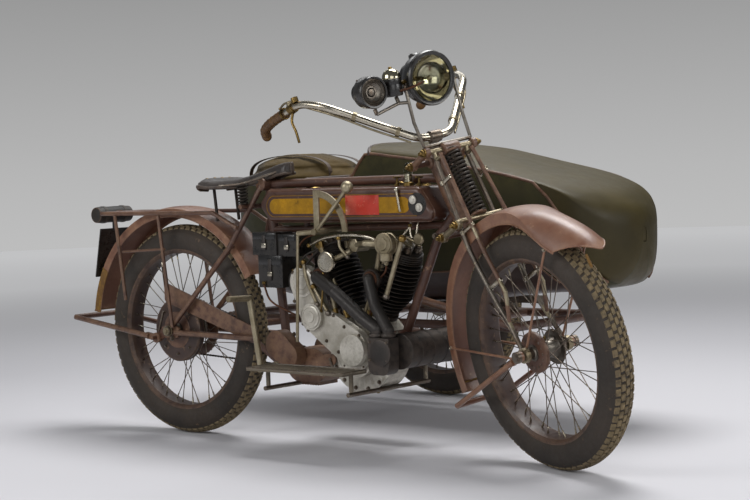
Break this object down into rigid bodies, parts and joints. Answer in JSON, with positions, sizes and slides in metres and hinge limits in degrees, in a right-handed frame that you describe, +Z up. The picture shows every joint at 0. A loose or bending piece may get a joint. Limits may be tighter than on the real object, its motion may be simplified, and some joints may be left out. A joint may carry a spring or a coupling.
{
  "type": "sidecar motorcycle",
  "caption": "Early-1920s flat-tank V-twin motorcycle with girder fork and torpedo sidecar; wheels roll, fork steers, stands swing down.",
  "frame": {"origin": "centre of the bounding box at floor level", "axes": "+X forward, +Y towards the sidecar (left), +Z up, wheels on z = 0"},
  "size_m": [2.3172, 1.4978, 1.2231],
  "materials": {
    "maroon_enamel": "worn satin enamel",
    "tank_enamel": "worn gloss enamel",
    "tyre_rubber": "matt",
    "rim_enamel": "worn satin enamel",
    "cast_aluminium": "cast, dull",
    "black_iron": "sooted",
    "black_enamel": "gloss, worn",
    "nickel": "tarnished nickel plate",
    "brass": "tarnished",
    "steel": "oiled",
    "leather": "worn",
    "canvas": "waxed",
    "olive_enamel": "satin",
    "grip_rubber": "aged"
  },
  "bodies": {
    "machine": {"frame": "maroon_enamel", "fuel_tank": "tank_enamel", "crankcase": "cast_aluminium", "rear_cylinder": "black_iron", "front_cylinder": "black_iron", "timing_cover": "cast_aluminium", "magneto": "black_enamel", "carburettor": "brass", "exhaust_pipes": "black_iron", "silencer": "black_iron", "gearbox": "cast_aluminium", "chain_guard": "maroon_enamel", "gear_lever": "nickel", "footboards": "steel", "kick_lever": "nickel", "tool_boxes": "black_enamel", "saddle": "leather", "saddle_springs": "steel", "rear_mudguard": "maroon_enamel", "luggage_rack": "maroon_enamel", "number_plate": "black_enamel", "rear_axle": "steel", "sidecar_chassis": "maroon_enamel", "sidecar_body": "olive_enamel", "sidecar_seat": "leather", "sidecar_hood": "canvas", "sidecar_springs": "steel", "sidecar_mudguard": "olive_enamel", "sidecar_deck": "olive_enamel", "clutch_cover": "maroon_enamel", "primary_case": "maroon_enamel", "board_bars": "steel"},
    "steering": {"fork_stem": "maroon_enamel", "fork_girder": "nickel", "fork_spring": "steel", "handlebar": "nickel", "grips": "grip_rubber", "control_levers": "brass", "headlamp": "nickel", "horn": "black_enamel", "generator": "black_enamel", "lamp_bracket": "steel", "front_mudguard": "maroon_enamel", "front_axle": "steel"},
    "front_wheel": {"front_tyre": "tyre_rubber", "front_wheel": "rim_enamel"},
    "rear_wheel": {"rear_tyre": "tyre_rubber", "rear_wheel": "rim_enamel"},
    "sidecar_wheel": {"sidecar_tyre": "tyre_rubber", "sidecar_wheel": "rim_enamel"},
    "rear_stand": {"rear_stand": "maroon_enamel"},
    "front_stand": {"front_stand": "maroon_enamel"}
  },
  "joints": [
    {"name": "steering", "type": "hinge", "parent": "machine", "child": "steering", "pos_m": [0.46749, -0.475, 0.78409], "axis": [-0.454, 0, 0.891], "range_deg": [-15, 50]},
    {"name": "front_wheel_spin", "type": "hinge", "parent": "steering", "child": "front_wheel", "pos_m": [0.81835, -0.51732, 0.35161], "axis": [0.3047, 0.9397, 0.1553], "continuous": true},
    {"name": "rear_wheel_spin", "type": "hinge", "parent": "machine", "child": "rear_wheel", "pos_m": [-0.681, -0.475, 0.355], "axis": [0, 1, 0], "continuous": true},
    {"name": "sidecar_wheel_spin", "type": "hinge", "parent": "machine", "child": "sidecar_wheel", "pos_m": [-0.481, 0.675, 0.355], "axis": [0, 1, 0], "continuous": true},
    {"name": "rear_stand_swing", "type": "hinge", "parent": "machine", "child": "rear_stand", "pos_m": [-0.741, -0.475, 0.33], "axis": [0, -1, 0], "range_deg": [0, 98]},
    {"name": "front_stand_swing", "type": "hinge", "parent": "steering", "child": "front_stand", "pos_m": [0.81835, -0.51732, 0.35161], "axis": [-0.3047, -0.9397, -0.1553], "range_deg": [0, 70]}
  ]
}
